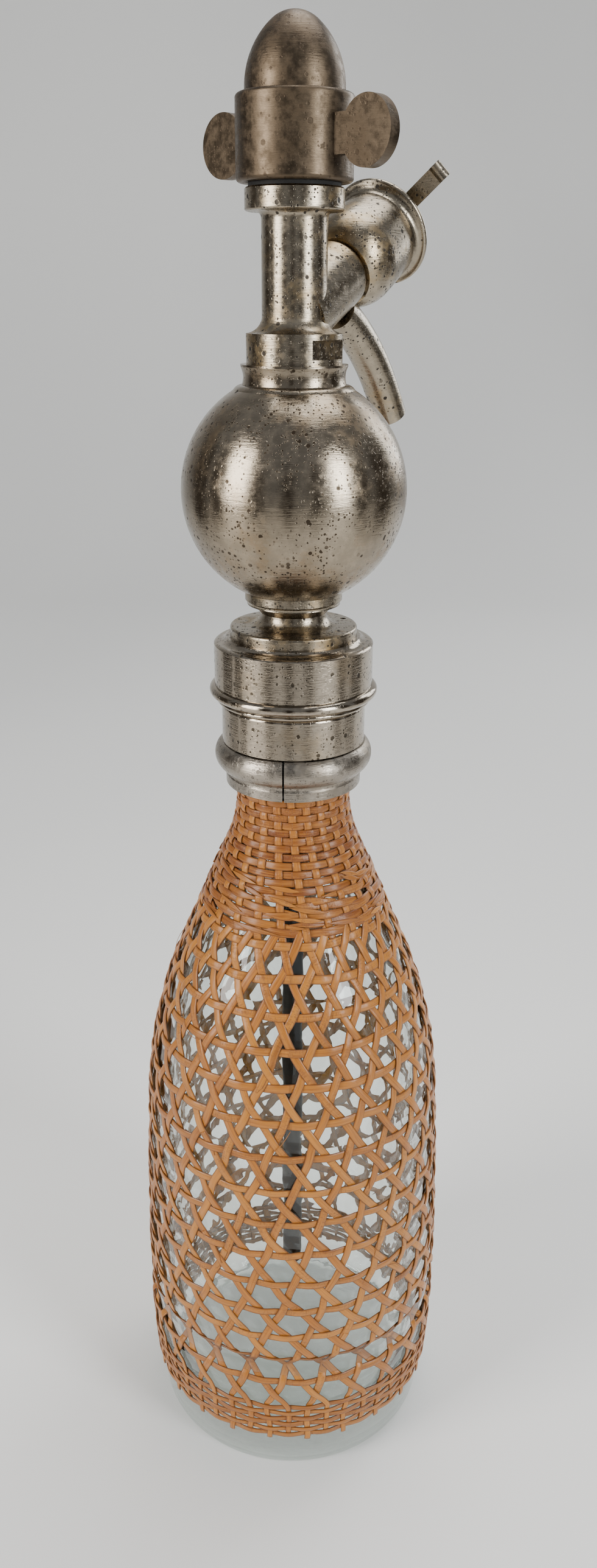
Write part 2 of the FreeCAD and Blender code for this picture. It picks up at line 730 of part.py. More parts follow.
def gas_way(low):
    """Drill the upright gas way beside the liquid duct."""
    return rod("gas_way", "gas_way_radius", low + " - column_spigot_drop - 1",
               "branch_height + duct_radius + 4.4",
               "gas_way_offset * cos(gas_way_azimuth)", "gas_way_offset * sin(gas_way_azimuth)")


def cross_way():
    """Drill the short way from the check valve chamber across to the upright gas way."""
    item = doc.addObject("Part::Cylinder", "cross_way")
    bound(item, Radius="gas_way_radius", Height="gas_way_offset")
    item.setExpression("Placement", linked(
        "placement(vector(0; 0; branch_height + duct_radius + 3.5); rotation(gas_way_azimuth; 90; 0))"))
    return item


def spout_solid(name, radius):
    """Bend a round bar along the spout: one bend and a straight end, in the upright plane of the branch."""
    azimuth = math.radians(value("branch_azimuth"))
    fall = math.radians(value("spout_start_fall"))
    bend = math.radians(value("spout_bend"))
    outward = FreeCAD.Vector(math.cos(azimuth), math.sin(azimuth), 0)
    across = FreeCAD.Vector(-math.sin(azimuth), math.cos(azimuth), 0)
    up = FreeCAD.Vector(0, 0, 1)
    start = outward * value("spout_start_reach") + up * value("spout_start_height")
    first = outward * math.cos(fall) - up * math.sin(fall)
    centre = start - (outward * math.sin(fall) + up * math.cos(fall)) * value("spout_bend_radius")
    section = Part.Face(Part.Wire(Part.Circle(start, first, value(radius)).toShape()))
    bent = section.revolve(centre, across, math.degrees(bend))
    turned_by = fall + bend
    heading = outward * math.cos(turned_by) - up * math.sin(turned_by)
    spoke = outward * math.sin(turned_by) + up * math.cos(turned_by)
    corner = centre + spoke * value("spout_bend_radius")
    straight = Part.makeCylinder(value(radius), value("spout_end_length"), corner, heading)
    item = doc.addObject("Part::Feature", name)
    item.Shape = bent.fuse(straight).removeSplitter()
    return item


def spout():
    tube = spout_solid("spout_tube", "spout_radius")
    bore = spout_solid("spout_bore", "spout_bore_radius")
    return cut_by("spout", tube, [bore, outlet_port("spout_port")])


def outlet_port(name):
    """Drill the upright way from the floor of the valve cup down into the spout."""
    return rod(name, "outlet_radius", "spout_start_height - outlet_depth",
               "spout_start_height + outlet_above",
               "outlet_reach * cos(branch_azimuth)", "outlet_reach * sin(branch_azimuth)")


def on_branch(name, points):
    """Turn an outline of (radius, distance along the branch) points about the branch axis."""
    body = turned(name, points)
    at_branch(body)
    return body


def valve_cup():
    """Make the bell-shaped valve cup with its rolled rim."""
    inner = "(cup_radius - cup_wall)"
    blank = on_branch("valve_cup_blank", [
        ("seat_radius + face_gap", "branch_length + face_gap"),
        ("sqrt(cup_radius ^ 2 - (cup_centre - branch_length - face_gap) ^ 2)", "branch_length + face_gap"),
        ("cup_radius * cos(25)", "cup_centre - cup_radius * sin(25)", "arc"),
        ("cup_radius", "cup_centre"),
        ("(cup_radius + cup_waist_radius) / 2 + 0.1", "(cup_centre + cup_waist) / 2", "arc"),
        ("cup_waist_radius", "cup_waist"),
        ("cup_waist_radius + 0.6", "cup_waist + 1.4", "arc"),
        ("cup_rim_radius - 0.5", "cup_rim - 1.6"),
        ("cup_rim_radius", "cup_rim - 0.8", "arc"),
        ("cup_rim_radius - 0.6", "cup_rim"),
        ("bonnet_radius + face_gap", "cup_rim"),
        ("bonnet_radius + face_gap", "cup_ledge"),
        ("cup_waist_radius - cup_wall", "cup_ledge"),
        (inner, "cup_centre"),
        (inner + " - 0.35", "cup_floor + 1.9", "arc"),
        (inner + " - 1.3", "cup_floor"),
        ("seat_radius + face_gap", "cup_floor"),
    ])
    return cut_by("valve_cup", blank, [spout_solid("spout_cup_socket", "spout_radius + face_gap"),
                                       outlet_port("cup_outlet_port")])


def valve_inside():
    """Make the valve disc, its holder, the stem with its button, the spring, the packing and gland nut."""
    seat = "branch_length + seat_length"
    yield on_branch("valve_disc", [("0", seat), ("valve_disc_radius", seat),
                                   ("valve_disc_radius", seat + " + valve_disc_thickness"),
                                   ("0", seat + " + valve_disc_thickness")])
    back = seat + " + valve_disc_thickness"
    top = back + " + valve_holder_height"
    yield on_branch("valve_holder", [
        ("0", back), ("valve_disc_radius", back), ("valve_disc_radius", back + " + 1.2"),
        ("valve_stem_radius + 0.9", back + " + 1.2"), ("valve_stem_radius + 0.9", top),
        ("valve_stem_radius", top), ("valve_stem_radius", back + " + 0.6"), ("0", back + " + 0.6")])
    button = "lever_height + lever_thickness / 2 + 0.15"
    ball = "sqrt(button_radius ^ 2 - (valve_stem_radius + 0.25) ^ 2)"
    yield on_branch("valve_stem", [("0", back + " + 0.6"), ("valve_stem_radius", back + " + 0.6"),
                                   ("valve_stem_radius", "%s + 1.6 * button_radius" % button),
                                   ("0", "%s + 1.6 * button_radius" % button)])
    middle = "(%s + %s)" % (button, ball)
    low = "valve_stem_radius"
    yield on_branch("stem_button", [
        (low, "%s - sqrt(button_radius ^ 2 - %s ^ 2)" % (middle, low)),
        ("button_radius", middle, "arc"),
        (low, "%s + sqrt(button_radius ^ 2 - %s ^ 2)" % (middle, low))])
    yield valve_coil()
    gland = "cup_ledge + bonnet_thickness"
    yield on_branch("stem_packing", [
        ("valve_stem_radius + running_gap", gland + " - gland_depth"),
        ("gland_radius - 1.2", gland + " - gland_depth"),
        ("gland_radius - 1.2", gland + " - 0.6"),
        ("valve_stem_radius + running_gap", gland + " - 0.6")])
    yield on_branch("gland_nut", [
        ("valve_stem_radius + running_gap", gland + " - 0.6"),
        ("gland_radius - 1.2", gland + " - 0.6"),
        ("gland_radius - 1.2", gland + " + face_gap"),
        ("gland_radius", gland + " + face_gap"),
        ("gland_radius", gland + " + gland_nut_height - 0.4"),
        ("gland_radius - 0.4", gland + " + gland_nut_height"),
        ("valve_stem_radius + running_gap", gland + " + gland_nut_height")])


def coil(name, radius, bottom, top, wire_radius, turns):
    """Wind an open spring between two levels, its first turn at the origin."""
    wire = value(wire_radius)
    height = value(top) - value(bottom) - 2 * wire
    helix = Part.makeHelix(height / value(turns), height, value(radius))
    start = FreeCAD.Vector(value(radius), 0, 0)
    section = Part.Wire(Part.Circle(start, FreeCAD.Vector(0, 1, 0), wire).toShape())
    item = doc.addObject("Part::Feature", name)
    item.Label = name
    item.Shape = Part.Wire(helix).makePipeShell([section], True, True)
    return item


def valve_coil():
    """Wind the spring of the valve round its stem."""
    low = "branch_length + seat_length + valve_disc_thickness + 1.2"
    item = coil("valve_spring", "valve_stem_radius + 1.9", low, "cup_ledge - 0.3", "spring_wire / 2",
                "spring_turns")
    return at_branch(item, low + " + spring_wire / 2")


def lever_frame(item, x="0", y="0", z="0"):
    """Place an object built about the lever: X along the bar from the stem, Z outward along the branch."""
    origin = ("vector(0; 0; branch_height) + rotation(branch_azimuth; 90 - branch_rise; 0)"
              " * rotation(lever_turn - 180; 0; 0) * vector(%s; %s; %s)" % (x, y, z))
    turn = "rotation(branch_azimuth; 90 - branch_rise; 0) * rotation(lever_turn - 180; 0; 0)"
    item.setExpression("Placement", linked("placement(%s; %s)" % (origin, turn)))
    return item


def lever_box(name, length, width, height, x, z):
    """Make a box about the lever, centred across it."""
    item = doc.addObject("Part::Box", name)
    bound(item, Length=length, Width=width, Height=height)
    return lever_frame(item, x, "0 - (%s) / 2" % width, z)


def lever_rod(name, radius, length, x, z):
    """Make a cylinder across the lever, centred on its middle plane."""
    item = doc.addObject("Part::Cylinder", name)
    bound(item, Radius=radius, Height=length)
    turn = "rotation(branch_azimuth; 90 - branch_rise; 0) * rotation(lever_turn - 180; 0; 0)"
    item.setExpression("Placement", linked(
        "placement(vector(0; 0; branch_height) + %s * vector(%s; (%s) / 2; %s); %s * rotation(0; 0; 90))"
        % (turn, x, length, z, turn)))
    return item


def bonnet():
    """Make the cover of the valve cup with its gland pocket and the two ears for the lever's pin."""
    top = "cup_ledge + bonnet_thickness"
    plate = on_branch("bonnet_plate", [
        ("valve_stem_radius + running_gap", "cup_ledge + face_gap"),
        ("bonnet_radius", "cup_ledge + face_gap"),
        ("bonnet_radius", top + " - 0.5"),
        ("bonnet_radius - 0.5", top),
        ("gland_radius - 1.15", top),
        ("gland_radius - 1.15", top + " - gland_depth - face_gap"),
        ("valve_stem_radius + running_gap", top + " - gland_depth - face_gap")])
    ear_low = top + " - 1"
    ear_width = "lever_width + 2 * turning_gap + 2 * lug_thickness"
    ears = lever_box("bonnet_ears_block", "lever_eye_radius * 2", ear_width,
                     "lever_height - (%s)" % ear_low, "0 - lever_arm - lever_eye_radius", ear_low)
    crown = lever_rod("bonnet_ears_crown", "lever_eye_radius", ear_width, "0 - lever_arm", "lever_height")
    slot = lever_box("bonnet_slot", "lever_eye_radius * 2 + 2", "lever_width + 2 * turning_gap",
                     "lever_height", "0 - lever_arm - lever_eye_radius - 1", top)
    bore = lever_rod("bonnet_pin_hole", "lever_pin_radius + face_gap", ear_width + " + 2", "0 - lever_arm",
                     "lever_height")
    return cut_by("valve_bonnet", gathered("bonnet_solid", [plate, ears, crown]), [slot, bore])


def lever():
    """Make the flat lever with its eye, the slot for the stem and the raised ridge at its end."""
    under = "lever_height - lever_thickness / 2"
    half = "lever_width / 2"
    arm = lever_box("lever_arm_bar", "lever_arm + lever_rise_start", "lever_width", "lever_thickness",
                    "0 - lever_arm", under)
    eye = lever_rod("lever_eye", "lever_eye_radius - 0.2", "lever_width", "0 - lever_arm", "lever_height")
    tip = doc.addObject("Part::Feature", "lever_tip_solid")
    start, reach = value("lever_rise_start"), value("lever_reach")
    rise, thick = value("lever_crank"), value("lever_thickness")
    ridge = value("lever_ridge")
    wide, root = value("lever_width"), start - value("lever_overlap")
    knee = start + value("lever_knee")
    under_side = [(root, 0), (knee, 0), (reach - ridge * 1.3, rise), (reach - ridge, rise - ridge * 0.45)]
    upper_side = [(reach - ridge * 0.2, rise + thick), (knee, thick), (root, thick), (root, 0)]
    path = [FreeCAD.Vector(x, 0, z) for x, z in under_side]
    back = [FreeCAD.Vector(x, 0, z) for x, z in upper_side]
    nose = Part.Arc(path[-1], FreeCAD.Vector(reach, 0, rise + thick * 0.35), back[0])
    edges = [nose.toShape()]
    for side in (path, back):
        edges += [Part.LineSegment(one, other).toShape() for one, other in zip(side, side[1:])]
    face = Part.Face(Part.Wire(Part.sortEdges(edges)[0]))
    tip.Shape = face.extrude(FreeCAD.Vector(0, wide, 0))
    lever_frame(tip, "0", "0 - " + half, under)
    slot = doc.addObject("Part::Box", "lever_slot")
    bound(slot, Length="2 * valve_stem_radius + 1.4", Width="2 * valve_stem_radius + 0.5",
          Height="lever_height")
    lever_frame(slot, "0 - valve_stem_radius - 0.7", "0 - valve_stem_radius - 0.25", "lever_height / 2")
    hole = lever_rod("lever_pin_hole", "lever_pin_radius + running_gap", "lever_width + 2", "0 - lever_arm",
                     "lever_height")
    yield cut_by("lever", gathered("lever_solid", [arm, eye, tip]), [slot, hole])
    pin_length = "lever_width + 2 * turning_gap + 2 * lug_thickness + 0.8"
    pin = lever_rod("lever_pin_blank", "lever_pin_radius", pin_length, "0 - lever_arm", "lever_height")
    pin.Label = "lever_pin"
    yield pin


def dip_tube():
    """Make the dip tube, cut square at the bottom, and its packing ring in the column's foot."""
    top = "branch_height - duct_radius * 1.1"
    low = COLUMN_BOTTOM + " - column_spigot_drop"
    yield ring("dip_tube", "tube_bore_radius", "tube_radius", "tube_bottom", top)
    inner, outer = "tube_radius + face_gap", "duct_radius + 2 - face_gap"
    yield ring("tube_packing", inner, outer, low + " + 1.4", low + " + 3")
    yield ring("tube_gland_ring", inner, outer, low, low + " + 1.4")


def gas_inlet():
    """Make the piercing pin in its drilled holder, the washer round it and the small check valve below."""
    floor = NECK_FLOOR
    seal_low = floor + " - seal_thickness"
    holder_low = seal_low + " - pin_holder_height"
    wide = "bulb_neck_radius + 0.4 - face_gap"
    yield ring("bulb_seal", "pin_radius + 0.4", wide, seal_low, floor)
    holder = turned("pin_holder_blank", [
        ("pin_radius", seal_low), (wide, seal_low), (wide, holder_low),
        ("0", holder_low), ("0", holder_low + " + 1.2"), ("pin_radius", holder_low + " + 1.2")])
    ways = [rod("pin_holder_way_%d" % side, "pin_radius * 0.55", holder_low + " - 1", seal_low + " + 1",
                "%d * pin_radius * 1.75" % side) for side in (1, -1)]
    yield cut_by("pin_holder", holder, ways)
    tip = floor + " + pin_reach"
    yield turned("piercing_pin", [
        ("0", holder_low + " + 1.2"), ("pin_radius - face_gap", holder_low + " + 1.2"),
        ("pin_radius - face_gap", tip + " - 1.6"), ("0", tip)])
    seat_low = holder_low + " - check_seat_height"
    chamber = "check_ball_radius + 0.6 - face_gap"
    yield ring("check_seat", "check_ball_radius * 0.55", chamber, seat_low, holder_low)
    contact = "sqrt(check_ball_radius ^ 2 - (check_ball_radius * 0.55) ^ 2)"
    centre = "(%s - %s - 0.02)" % (seat_low, contact)
    ball = doc.addObject("Part::Sphere", "check_ball")
    bound(ball, Radius="check_ball_radius", z=centre)
    yield ball
    low = "branch_height + duct_radius + check_floor"
    spring = coil("check_spring", "check_ball_radius * 0.6", low, centre + " - check_ball_radius * 0.93",
                  "check_wire", "check_turns")
    place = "placement(vector(0; 0; %s + check_wire); rotation(0; 0; 0))" % low
    spring.setExpression("Placement", linked(place))
    yield spring


def gas_bulb():
    """Make the pear-shaped steel bulb standing on its neck, already pierced."""
    low = NECK_FLOOR + " + face_gap"
    body_low = FLANGE_TOP
    top = NECK_FLOOR + " + bulb_length"
    wall = "bulb_steel"
    hollow = "(bulb_radius - bulb_steel)"
    return turned("gas_bulb", [
        ("pin_radius + 0.25", low),
        ("bulb_neck_radius", low),
        ("bulb_neck_radius", POCKET_FLOOR + " + 0.3"),
        ("bulb_neck_radius + 1.2", body_low + " + 0.8", "arc"),
        ("bulb_radius - 1.4", body_low + " + 2.4"),
        ("bulb_radius - 0.2", body_low + " + 4.6", "arc"),
        ("bulb_radius", body_low + " + 7"),
        ("bulb_radius", top + " - bulb_radius"),
        ("bulb_radius * cos(45)", top + " - bulb_radius * (1 - sin(45))", "arc"),
        ("0", top),
        ("0", top + " - " + wall),
        (hollow + " * cos(45)", top + " - bulb_radius + %s * sin(45)" % hollow, "arc"),
        (hollow, top + " - bulb_radius"),
        (hollow, body_low + " + 7"),
        ("bulb_radius - 0.2 - " + wall, body_low + " + 5.2", "arc"),
        ("bulb_radius - 2.2 - " + wall, body_low + " + 3.4"),
        ("bulb_neck_radius - " + wall, POCKET_FLOOR),
        ("bulb_neck_radius - " + wall, low + " + 1.2"),
        ("pin_radius + 0.25", low + " + 1.2"),
    ])


def bulb_cap():
    """Make the domed cap over the gas bulb, its two brazed wings and the pad that presses on the bulb."""
    bore = "bulb_seat_radius + turning_gap"
    inner = "(dome_radius - dome_wall)"
    inner_top = "(%s - dome_wall)" % DOME_TOP
    low = BAND_BOTTOM
    yield turned("cap_shell", [
        (bore, low),
        ("band_radius - 1.1", low),
        ("band_radius - 0.25", low + " + 0.3", "arc"),
        ("band_radius", low + " + 1.2"),
        ("band_radius", BAND_TOP + " - 0.9"),
        ("band_radius - 0.35", BAND_TOP + " - 0.2", "arc"),
        ("band_radius - 1.2", BAND_TOP),
        ("dome_radius", BAND_TOP + " + 0.2"),
        ("dome_radius * 0.83", BAND_TOP + " + dome_height * 0.56", "arc"),
        ("dome_radius * 0.44", DOME_TOP + " - dome_height * 0.105"),
        crown("dome_radius * 0.44", "dome_height * 0.105", DOME_TOP),
        ("0", DOME_TOP),
        ("0", inner_top),
        crown(inner + " * 0.8", "dome_height * 0.35", inner_top),
        (inner + " * 0.8", inner_top + " - dome_height * 0.35"),
        (inner + " * 0.95", BAND_TOP + " + dome_height * 0.26", "arc"),
        (inner, SEAT_TOP + " + 1.2"),
        (bore, SEAT_TOP + " + 1.2"),
    ])
    wings = []
    for side in (0, 1):
        paddle = doc.addObject("Part::Cylinder", "wing_paddle_%d" % side)
        bound(paddle, Radius="wing_radius", Height="wing_thickness")
        level = "(%s + %s) / 2" % (BAND_BOTTOM, BAND_TOP)
        azimuth = "(wing_azimuth + %d)" % (180 * side)
        turn = "rotation(%s; 0; 0)" % azimuth
        centre = "vector(0; 0; %s)" % level
        place = "placement(%s + %s * vector(%s; %s; %s); %s)"
        paddle.setExpression("Placement", linked(place % (
            centre, turn, "wing_distance", "wing_thickness / 2", "0", turn + " * rotation(0; 0; 90)")))
        neck = doc.addObject("Part::Box", "wing_neck_%d" % side)
        bound(neck, Length="wing_distance - bulb_seat_radius", Width="wing_thickness",
              Height="wing_neck_height")
        neck.setExpression("Placement", linked(place % (
            centre, turn, "bulb_seat_radius", "0 - wing_thickness / 2", "0 - wing_neck_height / 2", turn)))
        wings += [paddle, neck]
    core = rod("wing_band_core", "band_radius + face_gap / 2", BAND_BOTTOM + " - 5", BAND_TOP + " + 5")
    yield joined("cap_wings", "Cut", gathered("wing_blanks", wings), core)
    top = NECK_FLOOR + " + bulb_length"
    yield turned("bulb_pad", [
        ("0", top + " + 0.1"), ("bulb_radius * 0.4", top + " + 0.1"),
        ("bulb_radius * 0.4", DOME_TOP + " - dome_wall - 1.6"), ("0", DOME_TOP + " - dome_wall - 0.1")])


def cap_washer():
    return ring("cap_washer", "bulb_seat_radius + 0.1", "column_flange_radius - 0.9",
                FLANGE_TOP + " + face_gap", BAND_BOTTOM + " - face_gap")


def build():
    """Make every piece and return those that become files."""
    pieces = [glass_bottle(), *cane_cover(), split_collar(), *bottle_ferrule(), *neck_seals(), screw_cap()]
    pieces += [*ball_stem(), *globe(), union_ring(), column(), *dip_tube(), *gas_inlet(), gas_bulb()]
    pieces += [valve_cup(), spout(), *valve_inside(), bonnet(), *lever(), cap_washer(), *bulb_cap()]
    doc.recompute()
    return pieces


def check(pieces):
    """Stop if any object failed or any piece is empty, broken or repeated."""
    for item in doc.Objects:
        if "Invalid" in item.State or "Error" in item.State:
            raise RuntimeError("%s failed: %s" % (item.Name, item.State))
    labels = [piece.Label for piece in pieces]
    if len(set(labels)) != len(labels):
        raise RuntimeError("two pieces share a label")
    for piece in pieces:
        if piece.Shape.isNull() or not piece.Shape.isValid() or not piece.Shape.Solids:
            raise RuntimeError("%s has no sound shape" % piece.Label)


def write(pieces):
    os.makedirs("parts", exist_ok=True)
    for piece in pieces:
        piece.Shape.exportStep("parts/%s.step" % piece.Label)
        print("%-18s solids %2d  volume %9.1f" % (piece.Label, len(piece.Shape.Solids), piece.Shape.Volume))


PIECES = build()
check(PIECES)
write(PIECES)
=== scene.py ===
import json
import math
import random

import bpy
import numpy as np
from mathutils import Matrix, Vector


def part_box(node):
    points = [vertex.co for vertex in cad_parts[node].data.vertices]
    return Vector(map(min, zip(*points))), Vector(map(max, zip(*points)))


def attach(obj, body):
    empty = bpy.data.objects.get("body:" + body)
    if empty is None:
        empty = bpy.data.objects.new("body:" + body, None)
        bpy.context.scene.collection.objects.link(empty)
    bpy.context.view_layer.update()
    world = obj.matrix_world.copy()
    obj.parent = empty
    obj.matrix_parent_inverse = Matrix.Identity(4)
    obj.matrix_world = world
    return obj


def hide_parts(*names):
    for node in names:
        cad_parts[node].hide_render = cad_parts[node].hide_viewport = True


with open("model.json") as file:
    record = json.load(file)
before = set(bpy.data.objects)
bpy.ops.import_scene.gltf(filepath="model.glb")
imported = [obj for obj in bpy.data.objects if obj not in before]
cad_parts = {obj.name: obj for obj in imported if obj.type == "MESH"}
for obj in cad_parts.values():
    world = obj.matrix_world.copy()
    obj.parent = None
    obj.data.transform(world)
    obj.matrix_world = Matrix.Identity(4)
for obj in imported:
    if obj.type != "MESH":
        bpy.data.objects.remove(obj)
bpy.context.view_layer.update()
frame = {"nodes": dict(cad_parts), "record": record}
random.seed(24)

MM = 0.001
TURN = 2 * math.pi

# Cane cover: numbers of strands, rows and the sizes of one strand, in millimetres and degrees
STAKES = 24
SPACING = 360 / STAKES
HOOPS = 15
HOOP_WIDTH = 2.5
HOOP_SWING = 2.4
STRAND_WIDTH = 2.4
STRAND_THICKNESS = 0.52
LIFT_MIDDLE = 0.62
LIFT_SWING = 0.30
STAKE_START = -20.8
STAKE_ADVANCE = 10.2
STAKE_EASE = 5.2
STAKE_EASE_ROWS = 2.6
NECK_LEAN = 0.31
NECK_ROWS = 12
NECK_ROW_WIDTH = 2.2
LOOSE_ROWS = 5
LOOSE_ROW_PITCH = 2.05
FOOT_ROWS = 6
FOOT_ROW_WIDTH = 1.95
NEAR_HEIGHT = 4
INNER_FACE_DEPTH = 3.2
FRAYED_ENDS = 34
SPLICED_TIPS = 26
LOOSE_HAIRS = 12

# Camera, in metres and degrees
CAMERA_PLACE = Vector((0, -0.315, 0.341))
CAMERA_PITCH = 22.04
CAMERA_YAW = 0.272
CAMERA_ROLL = 0.247
CAMERA_LENS = 27.78
CAMERA_SENSOR = 36.0

# Dark cards round the part: the side each stands at and half the angle it fills, in degrees
CARD_SIDES = ((-108, 12), (-84, 7), (-36, 7), (-6, 6), (22, 6), (72, 7), (100, 12))
CARD_DISTANCE = 0.66
CARD_HEIGHT = 0.62


def new_node(tree, kind, inputs=None, **settings):
    """Add a shader node; an input is a plain value or the output that feeds it."""
    item = tree.nodes.new(kind)
    for key, setting in settings.items():
        setattr(item, key, setting)
    for key, given in (inputs or {}).items():
        if isinstance(given, bpy.types.NodeSocket):
            tree.links.new(given, item.inputs[key])
        else:
            item.inputs[key].default_value = given
    return item


def maths(tree, operation, first, second=0.0, third=0.0):
    node = new_node(tree, "ShaderNodeMath", {0: first, 1: second, 2: third}, operation=operation)
    return node.outputs[0]


def blended(tree, factor, first, second, blend="MIX"):
    """Blend two colours."""
    node = new_node(tree, "ShaderNodeMix", {0: factor, 6: first, 7: second},
                    data_type="RGBA", blend_type=blend)
    return node.outputs[2]


def spread(tree, given, low, high, to_low=0.0, to_high=1.0):
    """Map a value from one range to another with soft ends."""
    return new_node(tree, "ShaderNodeMapRange", {0: given, 1: low, 2: high, 3: to_low, 4: to_high},
                    interpolation_type="SMOOTHSTEP").outputs[0]


def noise(tree, place, scale, detail=4.0, rough=0.55, distortion=0.0):
    return new_node(tree, "ShaderNodeTexNoise", {"Vector": place, "Scale": scale, "Detail": detail,
                                                 "Roughness": rough, "Distortion": distortion}).outputs[0]


def spots(tree, place, scale, size):
    """Give a mask of small round spots of mixed sizes."""
    cells = new_node(tree, "ShaderNodeTexVoronoi", {"Vector": place, "Scale": scale, "Randomness": 1.0})
    luck = new_node(tree, "ShaderNodeSeparateColor", {0: cells.outputs["Color"]}).outputs[0]
    reach = maths(tree, "MULTIPLY", maths(tree, "POWER", luck, 2.5), size)
    return spread(tree, maths(tree, "SUBTRACT", reach, cells.outputs["Distance"]), -0.03, 0.05)


def object_place(tree):
    return new_node(tree, "ShaderNodeTexCoord").outputs["Object"]


def bumped(tree, height, distance, strength=1.0, normal=None):
    inputs = {"Height": height, "Distance": distance, "Strength": strength}
    if normal is not None:
        inputs["Normal"] = normal
    return new_node(tree, "ShaderNodeBump", inputs).outputs[0]


def new_material(name):
    material = bpy.data.materials.new(name)
    material.use_nodes = True
    tree = material.node_tree
    return material, tree, tree.nodes["Principled BSDF"]


def plated_metal(name, colour, dark, warm, roughness, speck=0.5, patch=0.5, scratch=0.3, wave=0.4):
    """Make worn nickel plate: dark specks, yellowish patches, fine scratches and a slightly wavy face."""
    material, tree, shader = new_material(name)
    place = object_place(tree)
    cloud = noise(tree, place, 55.0, 5.0, 0.6)
    fine_cloud = noise(tree, place, 420.0, 4.0, 0.65)
    patches = spread(tree, maths(tree, "ADD", cloud, maths(tree, "MULTIPLY", fine_cloud, 0.25)), 0.60, 0.80)
    fine = maths(tree, "MULTIPLY", spots(tree, place, 1500.0, 0.50),
                 spread(tree, noise(tree, place, 70.0, 3.0), 0.38, 0.56))
    small = maths(tree, "MULTIPLY", spots(tree, place, 760.0, 0.44),
                  spread(tree, noise(tree, place, 110.0, 3.0), 0.42, 0.58))
    large = spots(tree, place, 290.0, 0.22)
    all_sizes = maths(tree, "MAXIMUM", maths(tree, "MAXIMUM", fine, small), large)
    specks = maths(tree, "MULTIPLY", all_sizes, speck)
    tarnish = blended(tree, maths(tree, "MULTIPLY", patches, patch), colour, warm)
    streak = spread(tree, fine_cloud, 0.35, 0.75, 0.80, 1.08)
    grey = new_node(tree, "ShaderNodeCombineColor", {0: streak, 1: streak, 2: streak}).outputs[0]
    shade = blended(tree, 1.0, tarnish, grey, "MULTIPLY")
    tree.links.new(blended(tree, specks, shade, dark), shader.inputs["Base Color"])
    shader.inputs["Metallic"].default_value = 1.0
    worn = maths(tree, "MAXIMUM", specks, maths(tree, "MULTIPLY", patches, 0.4))
    sheen = spread(tree, fine_cloud, 0.3, 0.8, roughness * 0.75, roughness * 1.35)
    rough = maths(tree, "ADD", sheen, maths(tree, "MULTIPLY", worn, 0.28))
    tree.links.new(rough, shader.inputs["Roughness"])
    stretched = new_node(tree, "ShaderNodeMapping", {"Vector": place, "Scale": (1.0, 1.0, 14.0)}).outputs[0]
    lines = noise(tree, stretched, 190.0, 3.0, 0.7)
    face = bumped(tree, noise(tree, place, 34.0, 2.0), 0.004, wave * 0.10)
    face = bumped(tree, lines, 0.0002, scratch, face)
    face = bumped(tree, maths(tree, "SUBTRACT", 1.0, specks), 0.0001, 0.5, face)
    tree.links.new(face, shader.inputs["Normal"])
    return material


def plain_metal(name, colour, roughness):
    material, tree, shader = new_material(name)
    place = object_place(tree)
    grain = noise(tree, place, 600.0, 4.0)
    darker = tuple(part * 0.7 for part in colour[:3]) + (1.0,)
    tree.links.new(blended(tree, grain, colour, darker), shader.inputs["Base Color"])
    shader.inputs["Metallic"].default_value = 1.0
    rough = spread(tree, grain, 0.3, 0.7, roughness * 0.8, roughness * 1.3)
    tree.links.new(rough, shader.inputs["Roughness"])
    return material


def soft_matter(name, colour, roughness):
    material, tree, shader = new_material(name)
    grain = noise(tree, object_place(tree), 900.0, 4.0)
    darker = tuple(part * 0.6 for part in colour[:3]) + (1.0,)
    tree.links.new(blended(tree, grain, colour, darker), shader.inputs["Base Color"])
    shader.inputs["Roughness"].default_value = roughness
    tree.links.new(bumped(tree, grain, 0.0003, 0.4), shader.inputs["Normal"])
    return material


def clear_glass():
    """Make old hand-made glass: clear, faintly green, with a wavy face and a faint shadow."""
    material, tree, shader = new_material("bottle_glass")
    place = object_place(tree)
    shader.inputs["Base Color"].default_value = (0.915, 0.950, 0.932, 1.0)
    shader.inputs["Transmission Weight"].default_value = 1.0
    shader.inputs["Roughness"].default_value = 0.0
    shader.inputs["IOR"].default_value = 1.5
    wide = noise(tree, place, 22.0, 2.0)
    ripples = noise(tree, place, 95.0, 2.0, 0.4, 0.6)
    face = bumped(tree, ripples, 0.0012, 0.08, bumped(tree, wide, 0.010, 0.12))
    tree.links.new(face, shader.inputs["Normal"])
    faint_shadow = new_node(tree, "ShaderNodeBsdfTransparent", {"Color": (0.54, 0.57, 0.56, 1.0)})
    mixed = new_node(tree, "ShaderNodeMixShader", {
        0: new_node(tree, "ShaderNodeLightPath").outputs["Is Shadow Ray"],
        1: shader.outputs[0], 2: faint_shadow.outputs[0]})
    tree.links.new(mixed.outputs[0], tree.nodes["Material Output"].inputs["Surface"])
    return material


